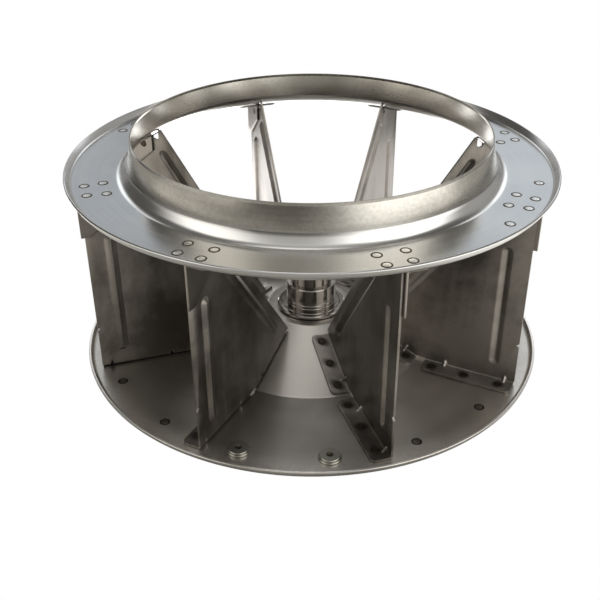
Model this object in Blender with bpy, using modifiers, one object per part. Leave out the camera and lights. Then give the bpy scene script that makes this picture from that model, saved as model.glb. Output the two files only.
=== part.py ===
"""Eight-bladed sheet-metal fan wheel: a spun inlet shroud, a dished back plate and flat radial blades.

The wheel lies flat with its shaft line on +Z and its back plate at z = 0. Blade angles are measured
from +X, anticlockwise seen from above. All sizes below are in millimetres and degrees.
"""
import math

import bmesh
import bpy
from mathutils import Matrix, Vector

MM = 0.001
GAP = 0.3                      # clearance kept between touching pieces

# Wheel
WHEEL_RADIUS = 232.0
BLADE_COUNT = 8
FIRST_BLADE_ANGLE = 22.5
TURN_STEPS = 72                # facets round the two large spun sheets
HUB_STEPS = 48
WEIGHT_STEPS = 24

# Back plate
PLATE_THICKNESS = 2.5
PLATE_LIP_HEIGHT = 7.5
CONE_BASE_RADIUS = 121.0
CONE_TOP_RADIUS = 45.0
CONE_TOP_HEIGHT = 36.0         # upper face of the flat top
CONE_BEND_RADIUS = 8.0
PLATE_HOLE_RADIUS = 20.0

# Inlet shroud
SHROUD_THICKNESS = 2.0
SHROUD_HEIGHT = 193.5          # upper face of the flat ring
SHROUD_LIP_HEIGHT = 200.3
NECK_RADIUS = 169.8
NECK_TOP_HEIGHT = 227.8
NECK_LEAN = 88.0
CREASE_RADIUS = 3.0            # between the neck and the sloping shoulder
SHOULDER_SLOPE = 25.0
SHOULDER_RUN = 7.0
SHOULDER_RADIUS = 5.0          # where the shoulder turns down
SHOULDER_STEEP = 62.0
SHOULDER_DROP = 1.0
FILLET_RADIUS = 6.0            # between the shoulder and the flat ring

# The turned-up lips of both spun sheets
LIP_ANGLE = 60.0
LIP_BEND_RADIUS = 5.0

# Blades
SHEET = 2.0
BLADE_TRAILING_RADIUS = 220.0
BLADE_LEADING_TOP_RADIUS = 174.0
BLADE_CORNER_HEIGHT = 196.5
BLADE_NOSE_RADIUS = 54.0
NOTCH_HEIGHT = 47.0            # small notch in the trailing edge
NOTCH_DEPTH = 3.0
NOTCH_HALF_WIDTH = 2.5
RELIEF_WIDTH = 5.0             # relief at the inner end of the top bend
RELIEF_DEPTH = 2.5
RELIEF_CHAMFER = (0.8, 1.8)

# Pressed ribs, raised on each blade's anticlockwise side and hollow on the other
RIB_HALF_WIDTH = 5.5
RIB_CROWN_HALF_WIDTH = 1.2
RIB_HEIGHT = 3.0
RIB_LAP = 1.0                  # how far each tool body runs past the face of the web
RIB_END_STEPS = 4
UPRIGHT_RIB = ((198.0, 25.5), (198.0, 142.5))      # (radius, height) of the ends' centres
SLANTED_RIB = ((82.1, 49.5), (171.9, 169.6))

# Flanges folded to each blade's clockwise side
FLANGE_WIDTH = 19.0
FLANGE_SHEET = 1.8             # a little under the sheet, so that its leg ends inside the web
BEND_RADIUS = 3.0              # outside of the bend
WEB_LAP = 0.5                  # from the end of the bend to the edge of the web
LEG_LAP = 3.0                  # how far the flange's leg runs up inside the web
FLAT_FLANGE_START = 129.5
FLAT_FLANGE_END = 219.5
CONE_FLANGE_INNER = 57.0
CONE_FLANGE_OUTER = 119.0
TOP_FLANGE_START = 184.0
TOP_FLANGE_END = 217.0
CORNER_RADIUS = 5.0
CORNER_CUTS = (22.5, 45.0, 67.5)
BEND_STEPS = 3
STRIP_CUTS = 4
STRIP_SHARES = (1.0, 0.66, 0.33)

# Angle brackets at the blade tops
BRACKET_OUTER_RADIUS = 223.5
BRACKET_INNER_DROP = 18.0
BRACKET_OUTER_DROP = 43.0
BRACKET_SLANT_SHARE = 0.75     # the slanted edge ends at this share of the bracket's length
BRACKET_LEG = 20.0

# Hub
HUB_RADIUS = 25.4
HUB_UPPER_RADIUS = 21.3
HUB_BORE_RADIUS = 12.7
HUB_STEP_HEIGHT = 64.0
HUB_TOP_HEIGHT = 84.0
HUB_FLANGE_RADIUS = 30.0
HUB_FLANGE_THICKNESS = 4.0
HUB_CHAMFER = 1.0
HUB_STEP_CHAMFER = 0.8
GROOVE_HEIGHTS = (46.0, 42.5)
GROOVE_DEPTH = 0.6

# Washer ring round the hub
RING_RADIUS = 35.0
RING_THICKNESS = 3.0
RING_CHAMFER = 1.2

# Balance weights
WEIGHT_RADIUS = 9.8
WEIGHT_THICKNESS = 3.5
WEIGHT_CHAMFER = 1.0
WEIGHT_CIRCLE = 207.0
WEIGHT_ANGLES = (256.0, 278.5)
WEIGHT_DISH_RADIUS = 4.6
WEIGHT_DISH_FLAT = 2.6
WEIGHT_DISH_DEPTH = 1.2


def remove_everything():
    for item in list(bpy.data.objects):
        bpy.data.objects.remove(item, do_unlink=True)


def make_material(name, colour, roughness):
    material = bpy.data.materials.new(name)
    material.use_nodes = True
    shader = material.node_tree.nodes["Principled BSDF"]
    shader.inputs["Base Color"].default_value = (*colour, 1.0)
    shader.inputs["Roughness"].default_value = roughness
    shader.inputs["Metallic"].default_value = 1.0
    return material


def add_object(name, mesh, material, collection):
    item = bpy.data.objects.new(name, mesh)
    collection.objects.link(item)
    if material is not None:
        mesh.materials.append(material)
    return item


def mesh_from(bm, name):
    mesh = bpy.data.meshes.new(name)
    bmesh.ops.recalc_face_normals(bm, faces=bm.faces[:])
    bm.to_mesh(mesh)
    bm.free()
    return mesh


def walk(start, heading, moves):
    """Follow straight runs and round bends from a start point; return the points passed."""
    r, z = start
    points = [(r, z)]
    for kind, *values in moves:
        if kind == "line":
            length = values[0]
            r += length * math.cos(math.radians(heading))
            z += length * math.sin(math.radians(heading))
            points.append((r, z))
            continue
        radius, turn, steps = values
        side = math.copysign(1.0, turn)
        centre_r = r - side * radius * math.sin(math.radians(heading))
        centre_z = z + side * radius * math.cos(math.radians(heading))
        for step in range(1, steps + 1):
            angle = math.radians(heading + turn * step / steps)
            r = centre_r + side * radius * math.sin(angle)
            z = centre_z - side * radius * math.cos(angle)
            points.append((r, z))
        heading += turn
    return points


def turn_profile(name, points, steps, closed=False):
    """Turn a profile of (radius, height) points about the wheel's axis."""
    mesh = bpy.data.meshes.new(name)
    edges = [(i, i + 1) for i in range(len(points) - 1)]
    if closed:
        edges.append((len(points) - 1, 0))
    mesh.from_pydata([(r * MM, 0.0, z * MM) for r, z in points], edges, [])
    item = bpy.data.objects.new(name, mesh)
    screw = item.modifiers.new("Turn", "SCREW")
    screw.axis = "Z"
    screw.angle = math.tau
    screw.steps = steps
    screw.render_steps = steps
    screw.use_merge_vertices = True
    screw.merge_threshold = 0.00001
    return item


def thicken(item, thickness):
    solid = item.modifiers.new("Sheet", "SOLIDIFY")
    solid.thickness = thickness * MM
    solid.offset = 0.0
    solid.use_even_offset = True


def lip_moves(rise):
    """The rim's bend and straight flare, reaching the given rise of the sheet's middle."""
    bend_rise = LIP_BEND_RADIUS * (1.0 - math.cos(math.radians(LIP_ANGLE)))
    straight = (rise - bend_rise) / math.sin(math.radians(LIP_ANGLE))
    return [("turn", LIP_BEND_RADIUS, LIP_ANGLE, 3), ("line", straight)]


def lip_reach(rise, thickness):
    """How far the lip runs out from the end of the flat sheet to its outer corner."""
    end_r, _ = walk((0.0, 0.0), 0.0, lip_moves(rise))[-1]
    return end_r + thickness / 2.0 * math.sin(math.radians(LIP_ANGLE))


def shroud_profile():
    """Middle of the shroud sheet, from the neck's rim down the shoulder and out to the lip."""
    half = SHROUD_THICKNESS / 2.0
    flat_height = SHROUD_HEIGHT - half
    rise = SHROUD_LIP_HEIGHT - half * math.cos(math.radians(LIP_ANGLE)) - flat_height
    flat_end = WHEEL_RADIUS - lip_reach(rise, SHROUD_THICKNESS)
    shoulder = [
        ("turn", CREASE_RADIUS, NECK_LEAN - SHOULDER_SLOPE, 3),
        ("line", SHOULDER_RUN),
        ("turn", SHOULDER_RADIUS, SHOULDER_SLOPE - SHOULDER_STEEP, 3),
        ("line", SHOULDER_DROP),
        ("turn", FILLET_RADIUS, SHOULDER_STEEP, 4),
    ]
    drop = -walk((0.0, 0.0), -NECK_LEAN, shoulder)[-1][1]
    neck_length = (NECK_TOP_HEIGHT - flat_height - drop) / math.sin(math.radians(NECK_LEAN))
    start = (NECK_RADIUS - half, NECK_TOP_HEIGHT)
    points = walk(start, -NECK_LEAN, [("line", neck_length)] + shoulder)
    points += walk((flat_end, flat_height), 0.0, lip_moves(rise))
    return points


def plate_profile():
    """Middle of the back plate sheet, from the hub hole over the cone and out to the lip."""
    half = PLATE_THICKNESS / 2.0
    top = CONE_TOP_HEIGHT - half
    fall = top - half
    slope = math.degrees(math.atan2(fall, CONE_BASE_RADIUS - CONE_TOP_RADIUS))
    tangent = CONE_BEND_RADIUS * math.tan(math.radians(slope / 2.0))
    run = math.hypot(fall, CONE_BASE_RADIUS - CONE_TOP_RADIUS) - 2.0 * tangent
    rise = PLATE_LIP_HEIGHT - half * math.cos(math.radians(LIP_ANGLE)) - half
    flat_end = WHEEL_RADIUS - lip_reach(rise, PLATE_THICKNESS)
    points = walk((PLATE_HOLE_RADIUS, top), 0.0, [
        ("line", CONE_TOP_RADIUS - tangent - PLATE_HOLE_RADIUS),
        ("turn", CONE_BEND_RADIUS, -slope, 3),
        ("line", run),
        ("turn", CONE_BEND_RADIUS, slope, 3),
    ])
    points += walk((flat_end, half), 0.0, lip_moves(rise))
    return points


def cone_direction():
    """Unit vector down the cone's slope, and the unit vector square to it and upwards."""
    along = Vector((CONE_BASE_RADIUS - CONE_TOP_RADIUS, 0.0, PLATE_THICKNESS - CONE_TOP_HEIGHT))
    along.normalize()
    return along, Vector((-along.z, 0.0, along.x))


def flat_sheet(name, outline, thickness):
    """A flat piece from an outline of (radius, height) points, standing in the XZ plane."""
    curve = bpy.data.curves.new(name, "CURVE")
    curve.dimensions = "2D"
    curve.fill_mode = "BOTH"
    curve.extrude = thickness / 2.0 * MM
    spline = curve.splines.new("POLY")
    spline.points.add(len(outline) - 1)
    for point, (x, z) in zip(spline.points, outline):
        point.co = (x * MM, z * MM, 0.0, 1.0)
    spline.use_cyclic_u = True
    item = bpy.data.objects.new(name, curve)
    bpy.context.scene.collection.objects.link(item)
    graph = bpy.context.evaluated_depsgraph_get()
    mesh = bpy.data.meshes.new_from_object(item.evaluated_get(graph))
    bpy.data.objects.remove(item, do_unlink=True)
    bpy.data.curves.remove(curve)
    bm = bmesh.new()
    bm.from_mesh(mesh)
    bpy.data.meshes.remove(mesh)
    bmesh.ops.remove_doubles(bm, verts=bm.verts[:], dist=0.000001)
    bmesh.ops.transform(bm, matrix=Matrix.Rotation(math.pi / 2.0, 4, "X"), verts=bm.verts[:])
    return mesh_from(bm, name)


def bent_strip(length, width, upright, thickness):
    """A straight strip of bent sheet along +X: a flange towards -Y and an upright leg towards +Z.

    The middle of the upright leg is at y = 0 and the flange's underside at z = 0.
    """
    half = thickness / 2.0
    inner = BEND_RADIUS - thickness
    centre_y = half - BEND_RADIUS
    bend = [math.radians(-90.0 + 90.0 * step / BEND_STEPS) for step in range(BEND_STEPS + 1)]
    section = [(-width * share, 0.0) for share in STRIP_SHARES]
    for radius, angles, ends in (
        (BEND_RADIUS, bend, [(half, upright), (-half, upright)]),
        (inner, reversed(bend), []),
    ):
        for angle in angles:
            section.append(
                (centre_y + radius * math.cos(angle), BEND_RADIUS + radius * math.sin(angle))
            )
        section += ends
    section += [(-width * share, thickness) for share in reversed(STRIP_SHARES)]
    bm = bmesh.new()
    rings = []
    for cut in range(STRIP_CUTS + 1):
        x = length * cut / STRIP_CUTS
        rings.append([bm.verts.new((x * MM, y * MM, z * MM)) for y, z in section])
    count = len(section)
    for near, far in zip(rings, rings[1:]):
        for i in range(count):
            j = (i + 1) % count
            bm.faces.new((near[i], near[j], far[j], far[i]))
    bm.faces.new(rings[0])
    bm.faces.new(list(reversed(rings[-1])))
    bmesh.ops.recalc_face_normals(bm, faces=bm.faces[:])
    return bm


def trim(bm, point, normal):
    """Cut off what lies beyond a plane and close the cut."""
    geometry = bm.verts[:] + bm.edges[:] + bm.faces[:]
    place = Vector(point) * MM
    bmesh.ops.bisect_plane(
        bm, geom=geometry, dist=0.0000001, plane_co=place, plane_no=Vector(normal), clear_outer=True
    )
    open_edges = [edge for edge in bm.edges if edge.is_boundary]
    bmesh.ops.holes_fill(bm, edges=open_edges, sides=0)


def round_corner(bm, x, y, end_x, end_y):
    """Round an upright corner at (x, y); end_x and end_y are the signs that point out of it."""
    centre = (x - end_x * CORNER_RADIUS, y - end_y * CORNER_RADIUS)
    for degrees in CORNER_CUTS:
        angle = math.radians(degrees)
        out = (end_x * math.cos(angle), end_y * math.sin(angle), 0.0)
        place = (centre[0] + out[0] * CORNER_RADIUS, centre[1] + out[1] * CORNER_RADIUS, 0.0)
        trim(bm, place, out)


def combine(base, others, operation):
    """Join the other solids to the base one, or cut them from it, and leave a plain mesh."""
    for other in others:
        modifier = base.modifiers.new("Combine", "BOOLEAN")
        modifier.operation = operation
        modifier.solver = "EXACT"
        modifier.object = other
    graph = bpy.context.evaluated_depsgraph_get()
    mesh = bpy.data.meshes.new_from_object(base.evaluated_get(graph))
    base.modifiers.clear()
    old = base.data
    base.data = mesh
    bpy.data.meshes.remove(old)
    for other in others:
        bpy.data.objects.remove(other, do_unlink=True)


def blade_outline():
    """The flat web's edge: trailing edge, notched top, slanting leading edge and foot."""
    along, up = cone_direction()
    foot = PLATE_THICKNESS + GAP + BEND_RADIUS + WEB_LAP
    head = SHROUD_HEIGHT - SHROUD_THICKNESS - GAP - BEND_RADIUS - WEB_LAP
    cone_top = Vector((CONE_TOP_RADIUS, 0.0, CONE_TOP_HEIGHT))
    cone_top += up * (GAP + BEND_RADIUS + WEB_LAP)
    nose = cone_top + along * ((BLADE_NOSE_RADIUS - cone_top.x) / along.x)
    knee = cone_top + along * ((foot - cone_top.z) / along.z)
    relief_start = TOP_FLANGE_START - 1.0
    relief_end = relief_start - RELIEF_WIDTH
    relief_middle = (relief_start + relief_end) / 2.0
    side, drop = RELIEF_CHAMFER
    return [
        (BLADE_TRAILING_RADIUS, foot),
        (BLADE_TRAILING_RADIUS, NOTCH_HEIGHT - NOTCH_HALF_WIDTH),
        (BLADE_TRAILING_RADIUS - NOTCH_DEPTH, NOTCH_HEIGHT),
        (BLADE_TRAILING_RADIUS, NOTCH_HEIGHT + NOTCH_HALF_WIDTH),
        (BLADE_TRAILING_RADIUS, head),
        (relief_start, head),
        (relief_start - side, head - drop),
        (relief_middle, head - RELIEF_DEPTH),
        (relief_end + side, head - drop),
        (relief_end, head),
        (relief_end, BLADE_CORNER_HEIGHT),
        (BLADE_LEADING_TOP_RADIUS, BLADE_CORNER_HEIGHT),
        (nose.x, nose.z),
        (knee.x, knee.z),
    ]


def rib_body(ends, face, collection):
    """A long bead with sloping sides that stands on the web's plane at y = face."""
    first, last = Vector(ends[0]), Vector(ends[1])
    heading = math.atan2(last.y - first.y, last.x - first.x)
    slope = (RIB_HALF_WIDTH - RIB_CROWN_HALF_WIDTH) / RIB_HEIGHT
    bm = bmesh.new()
    loops = []
    for y, half_width in (
        (face - RIB_LAP, RIB_HALF_WIDTH + slope * RIB_LAP),
        (face + RIB_HEIGHT, RIB_CROWN_HALF_WIDTH),
    ):
        loop = []
        for centre, start in ((last, heading - math.pi / 2.0), (first, heading + math.pi / 2.0)):
            for step in range(RIB_END_STEPS + 1):
                angle = start + math.pi * step / RIB_END_STEPS
                x = centre.x + half_width * math.cos(angle)
                z = centre.y + half_width * math.sin(angle)
                loop.append(bm.verts.new((x * MM, y * MM, z * MM)))
        loops.append(loop)
    low, high = loops
    for i in range(len(low)):
        j = (i + 1) % len(low)
        bm.faces.new((low[i], low[j], high[j], high[i]))
    bm.faces.new(low)
    bm.faces.new(high)
    return add_object("rib_body", mesh_from(bm, "rib_body"), None, collection)


def foot_flange(collection):
    """The flange on the flat of the back plate, square-ended beside the trailing edge."""
    length = FLAT_FLANGE_END - FLAT_FLANGE_START
    bm = bent_strip(length, FLANGE_WIDTH, BEND_RADIUS + LEG_LAP, FLANGE_SHEET)
    round_corner(bm, length, -FLANGE_WIDTH, 1.0, -1.0)
    round_corner(bm, 0.0, -FLANGE_WIDTH, -1.0, -1.0)
    shift = Matrix.Translation(Vector((FLAT_FLANGE_START, 0.0, PLATE_THICKNESS + GAP)) * MM)
    bmesh.ops.transform(bm, matrix=shift, verts=bm.verts[:])
    return add_object("foot_flange", mesh_from(bm, "foot_flange"), None, collection)


def cone_flange(collection):
    """The flange on the cone, wrapped round the axis so that it lies on the curved slope."""
    along, up = cone_direction()
    length = (CONE_FLANGE_OUTER - CONE_FLANGE_INNER) / along.x
    bm = bent_strip(length, FLANGE_WIDTH, BEND_RADIUS + LEG_LAP, FLANGE_SHEET)
    round_corner(bm, 0.0, -FLANGE_WIDTH, -1.0, -1.0)
    round_corner(bm, length, -FLANGE_WIDTH, 1.0, -1.0)
    cone_top = Vector((CONE_TOP_RADIUS, 0.0, CONE_TOP_HEIGHT)) + up * GAP
    start = cone_top + along * ((CONE_FLANGE_INNER - cone_top.x) / along.x)
    for vertex in bm.verts:
        place = start * MM + along * vertex.co.x + up * vertex.co.z
        angle = vertex.co.y / place.x
        vertex.co = (place.x * math.cos(angle), place.x * math.sin(angle), place.z)
    return add_object("cone_flange", mesh_from(bm, "cone_flange"), None, collection)


def head_flange(collection):
    """The flange folded over under the shroud's flat ring."""
    length = TOP_FLANGE_END - TOP_FLANGE_START
    bm = bent_strip(length, FLANGE_WIDTH, BEND_RADIUS + LEG_LAP, FLANGE_SHEET)
    round_corner(bm, length, -FLANGE_WIDTH, 1.0, -1.0)
    round_corner(bm, 0.0, -FLANGE_WIDTH, -1.0, -1.0)
    bmesh.ops.scale(bm, vec=(1.0, 1.0, -1.0), verts=bm.verts[:])
    top = SHROUD_HEIGHT - SHROUD_THICKNESS - GAP
    shift = Matrix.Translation(Vector((TOP_FLANGE_START, 0.0, top)) * MM)
    bmesh.ops.transform(bm, matrix=shift, verts=bm.verts[:])
    return add_object("head_flange", mesh_from(bm, "head_flange"), None, collection)


def blade_mesh(collection):
    """One blade on the +X ray: a ribbed web with three flanges folded to its clockwise side."""
    mesh = flat_sheet("blade_web", blade_outline(), SHEET)
    web = add_object("blade_web", mesh, None, collection)
    ribs = (UPRIGHT_RIB, SLANTED_RIB)
    raised = [rib_body(ends, SHEET / 2.0, collection) for ends in ribs]
    hollow = [rib_body(ends, -SHEET / 2.0, collection) for ends in ribs]
    combine(web, raised, "UNION")
    combine(web, hollow, "DIFFERENCE")
    flanges = [foot_flange(collection), cone_flange(collection), head_flange(collection)]
    combine(web, flanges, "UNION")
    blade = web.data.copy()
    bpy.data.objects.remove(web, do_unlink=True)
    return blade


def bracket_mesh():
    """The angle bracket on a blade's other side, its lower edge cut on a slant."""
    top = SHROUD_HEIGHT - SHROUD_THICKNESS - GAP
    length = BRACKET_OUTER_RADIUS - TOP_FLANGE_START
    bm = bent_strip(length, BRACKET_LEG, BRACKET_OUTER_DROP, SHEET)
    fall = BRACKET_OUTER_DROP - BRACKET_INNER_DROP
    slant = Vector((-fall, 0.0, length * BRACKET_SLANT_SHARE)).normalized()
    trim(bm, (0.0, 0.0, BRACKET_INNER_DROP), slant)
    round_corner(bm, length, -BRACKET_LEG, 1.0, -1.0)
    round_corner(bm, 0.0, -BRACKET_LEG, -1.0, -1.0)
    bmesh.ops.scale(bm, vec=(1.0, -1.0, -1.0), verts=bm.verts[:])
    shift = Vector((TOP_FLANGE_START, SHEET + GAP, top)) * MM
    bmesh.ops.translate(bm, vec=shift, verts=bm.verts[:])
    return mesh_from(bm, "angle_bracket")


def hub_profile():
    """The hub's outline, down its outside from the top and back up the bore."""
    seat = CONE_TOP_HEIGHT + GAP
    under = CONE_TOP_HEIGHT - PLATE_THICKNESS - GAP
    foot = under - HUB_FLANGE_THICKNESS
    spigot = PLATE_HOLE_RADIUS - GAP
    points = [
        (HUB_BORE_RADIUS + HUB_CHAMFER, HUB_TOP_HEIGHT),
        (HUB_UPPER_RADIUS - HUB_CHAMFER, HUB_TOP_HEIGHT),
        (HUB_UPPER_RADIUS, HUB_TOP_HEIGHT - HUB_CHAMFER),
        (HUB_UPPER_RADIUS, HUB_STEP_HEIGHT),
        (HUB_RADIUS - HUB_STEP_CHAMFER, HUB_STEP_HEIGHT),
        (HUB_RADIUS, HUB_STEP_HEIGHT - HUB_STEP_CHAMFER),
    ]
    for height in GROOVE_HEIGHTS:
        points += [
            (HUB_RADIUS, height + GROOVE_DEPTH),
            (HUB_RADIUS - GROOVE_DEPTH, height),
            (HUB_RADIUS, height - GROOVE_DEPTH),
        ]
    points += [
        (HUB_RADIUS, seat),
        (spigot, seat),
        (spigot, under),
        (HUB_FLANGE_RADIUS, under),
        (HUB_FLANGE_RADIUS, foot),
        (HUB_BORE_RADIUS + HUB_CHAMFER, foot),
        (HUB_BORE_RADIUS, foot + HUB_CHAMFER),
        (HUB_BORE_RADIUS, HUB_TOP_HEIGHT - HUB_CHAMFER),
    ]
    return points


def ring_profile():
    """The round washer plate that lies on the cone's flat top round the hub."""
    low = CONE_TOP_HEIGHT + GAP
    high = low + RING_THICKNESS
    inner = HUB_RADIUS + GAP
    return [
        (inner, high),
        (RING_RADIUS - RING_CHAMFER, high),
        (RING_RADIUS, high - RING_CHAMFER),
        (RING_RADIUS, low),
        (inner, low),
    ]


def weight_profile():
    """A round balance weight with a dished middle."""
    low = PLATE_THICKNESS + GAP
    high = low + WEIGHT_THICKNESS
    return [
        (0.0, high - WEIGHT_DISH_DEPTH),
        (WEIGHT_DISH_FLAT, high - WEIGHT_DISH_DEPTH),
        (WEIGHT_DISH_RADIUS, high),
        (WEIGHT_RADIUS - WEIGHT_CHAMFER, high),
        (WEIGHT_RADIUS, high - WEIGHT_CHAMFER),
        (WEIGHT_RADIUS, low),
        (0.0, low),
    ]


def place_on_ray(item, angle):
    item.rotation_euler = (0.0, 0.0, math.radians(angle))


def weight_place(angle):
    turn = math.radians(angle)
    return Vector((math.cos(turn), math.sin(turn), 0.0)) * WEIGHT_CIRCLE * MM


def shade_round(item):
    for polygon in item.data.polygons:
        polygon.use_smooth = True


def build():
    remove_everything()
    scene = bpy.context.scene
    wheel = bpy.data.collections.new("fan_wheel")
    scene.collection.children.link(wheel)

    spun = make_material("spun_sheet", (0.50, 0.49, 0.47), 0.28)
    plate_steel = make_material("plate_sheet", (0.36, 0.35, 0.33), 0.25)
    blade_steel = make_material("blade_sheet", (0.20, 0.19, 0.17), 0.42)
    hub_steel = make_material("turned_steel", (0.62, 0.60, 0.57), 0.18)

    shroud = turn_profile("inlet_shroud", shroud_profile(), TURN_STEPS)
    shroud.data.materials.append(spun)
    thicken(shroud, SHROUD_THICKNESS)
    wheel.objects.link(shroud)

    plate = turn_profile("back_plate", plate_profile(), TURN_STEPS)
    plate.data.materials.append(plate_steel)
    thicken(plate, PLATE_THICKNESS)
    wheel.objects.link(plate)

    blade = blade_mesh(wheel)
    bracket = bracket_mesh()
    for number in range(BLADE_COUNT):
        angle = FIRST_BLADE_ANGLE + number * 360.0 / BLADE_COUNT
        place_on_ray(add_object(f"blade_{number + 1}", blade.copy(), blade_steel, wheel), angle)
        name = f"angle_bracket_{number + 1}"
        place_on_ray(add_object(name, bracket.copy(), blade_steel, wheel), angle)

    for name, profile in (("hub", hub_profile()), ("hub_ring", ring_profile())):
        item = turn_profile(name, profile, HUB_STEPS, closed=True)
        item.data.materials.append(hub_steel)
        wheel.objects.link(item)

    for number, angle in enumerate(WEIGHT_ANGLES, start=1):
        weight = turn_profile(f"balance_weight_{number}", weight_profile(), WEIGHT_STEPS)
        weight.data.materials.append(hub_steel)
        weight.location = weight_place(angle)
        wheel.objects.link(weight)

    for item in wheel.objects:
        shade_round(item)


build()
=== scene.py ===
"""The looks of a welded sheet-steel fan wheel with eight flat blades.

The sections follow the wheel as it is put together: viewpoint and studio, back plate, blades,
angle brackets, inlet shroud, hub, balance weights. Sizes are in millimetres and degrees, apart
from those of the studio and the textures, which are in metres. Heights are above the back plate's
underside, and angles run anticlockwise from +X seen from the inlet.
"""
import math

import bmesh
import bpy
from mathutils import Matrix, Vector


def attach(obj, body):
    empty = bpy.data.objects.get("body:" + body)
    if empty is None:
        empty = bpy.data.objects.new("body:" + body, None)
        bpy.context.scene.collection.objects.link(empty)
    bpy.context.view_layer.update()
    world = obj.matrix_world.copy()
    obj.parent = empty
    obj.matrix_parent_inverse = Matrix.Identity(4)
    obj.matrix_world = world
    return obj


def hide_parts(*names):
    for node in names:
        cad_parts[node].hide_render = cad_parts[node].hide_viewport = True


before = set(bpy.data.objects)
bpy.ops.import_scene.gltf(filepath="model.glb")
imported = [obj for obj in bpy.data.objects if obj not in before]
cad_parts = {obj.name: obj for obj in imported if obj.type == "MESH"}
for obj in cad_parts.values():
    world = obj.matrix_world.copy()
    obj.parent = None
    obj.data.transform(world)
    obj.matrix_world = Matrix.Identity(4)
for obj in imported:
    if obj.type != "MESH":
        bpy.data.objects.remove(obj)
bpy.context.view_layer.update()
MM = 0.001

# Viewpoint.
# The photograph looks down on the wheel from its front, a little to the right of the gap between
# two blades. The values come from the ellipses of the rims, the neck and the blades' feet.
CAMERA_DISTANCE = 961.0
CAMERA_ELEVATION = 32.53
CAMERA_AZIMUTH = 273.9
CAMERA_AIM_HEIGHT = 7.5
CAMERA_TURN = -0.705
CAMERA_LIFT = 1.604
CAMERA_ROLL = 0.109
CAMERA_LENS = 54.14
SENSOR_WIDTH = 36.0


def cos_of(degrees):
    return math.cos(math.radians(degrees))


def sin_of(degrees):
    return math.sin(math.radians(degrees))


def on_ray(radius, angle, height=0.0):
    """A point in metres from its radius and height in millimetres and its angle in degrees."""
    return Vector((radius * cos_of(angle), radius * sin_of(angle), height)) * MM


aim = on_ray(0.0, 0.0, CAMERA_AIM_HEIGHT)
level = CAMERA_DISTANCE * cos_of(CAMERA_ELEVATION)
rise = CAMERA_DISTANCE * sin_of(CAMERA_ELEVATION)
eye = aim + on_ray(level, CAMERA_AZIMUTH, rise)
ahead = (aim - eye).normalized()
right = on_ray(1.0, CAMERA_AZIMUTH + 90.0).normalized()
up = right.cross(ahead)
look = right * sin_of(CAMERA_TURN) * cos_of(CAMERA_LIFT) + up * sin_of(CAMERA_LIFT)
look += ahead * cos_of(CAMERA_TURN) * cos_of(CAMERA_LIFT)
side = right * cos_of(CAMERA_TURN) - ahead * sin_of(CAMERA_TURN)
side.rotate(Matrix.Rotation(-math.radians(CAMERA_ROLL), 3, look))
top = side.cross(look)
lens = bpy.data.cameras.new("photo_camera")
lens.lens = CAMERA_LENS
lens.sensor_width = SENSOR_WIDTH
camera = bpy.data.objects.new("photo_camera", lens)
camera.matrix_world = Matrix.Translation(eye) @ Matrix((side, top, -look)).transposed().to_4x4()
bpy.context.scene.collection.objects.link(camera)
bpy.context.scene.camera = camera

# Studio.
# A floor white to the camera under soft light; the metal sees on it a painted shadow round the
# wheel and painted light beside and behind it. Soft panels stand behind the wheel to its left and
# right and beside it, and one hangs overhead; the space straight behind and in front is dim.
FLOOR_SIZE = 14.0
FLOOR_DROP = 0.0004
WHITE = (1.0, 1.0, 1.0, 1.0)
# Painted shadow round the wheel, seen only in the metal.
FLOOR_PAINTED_SHADOW = (0.10, 0.095, 0.088, 1.0)
FLOOR_PAINTED_SHADOW_REACH = (0.224, 0.254)
FLOOR_FRONT = (0.44, 0.425, 0.39, 1.0)
# Painted light on the floor beside and behind the wheel, seen only in the metal.
FLOOR_LEFT = (1.8, 1.73, 1.60, 1.0)
FLOOR_RIGHT = (2.2, 2.16, 2.05, 1.0)
FLOOR_LEFT_FADE = (-0.22, -0.62)
FLOOR_RIGHT_FADE = (0.06, 0.58)
FLOOR_SIDE_END = (0.30, -0.05)
FLOOR_BEHIND_LEFT = (3.6, 3.6, 3.6, 1.0)
FLOOR_BEHIND_RIGHT = (1.7, 1.7, 1.7, 1.0)
FLOOR_BEHIND_FADE = (0.10, 0.24)
FLOOR_BEHIND_END = (0.70, 0.50)
FLOOR_END = (1.6, 2.6)
BACK_DIM = (0.46, 0.45, 0.44, 1.0)
FRONT_DIM = (0.27, 0.26, 0.24, 1.0)
BACK_HIGH = (0.15, 0.147, 0.142, 1.0)
BACK_REACH = (0.50, 0.66)
ZENITH_DIM = (0.75, 0.74, 0.71, 1.0)
ZENITH_REACH = (0.45, 0.97)
HORIZON_DIM = (0.10, 0.095, 0.085, 1.0)
HORIZON_AZIMUTHS = (112.0, 150.0, 180.0, 181.0)
HORIZON_HEIGHTS = (-12.0, -2.0, 8.0, 24.0)
SIDE_AZIMUTHS = (7.0, 12.0, 22.0, 34.0)
RISING_AZIMUTHS = (9.0, 13.0, 22.0, 34.0)
RISING_HEIGHTS = (30.0, 34.0, 38.0, 43.0)
LOW_AZIMUTHS = (18.0, 27.0, 31.0, 42.0)
LOW_HEIGHTS = (10.0, 18.0, 27.0, 36.0)
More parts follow.
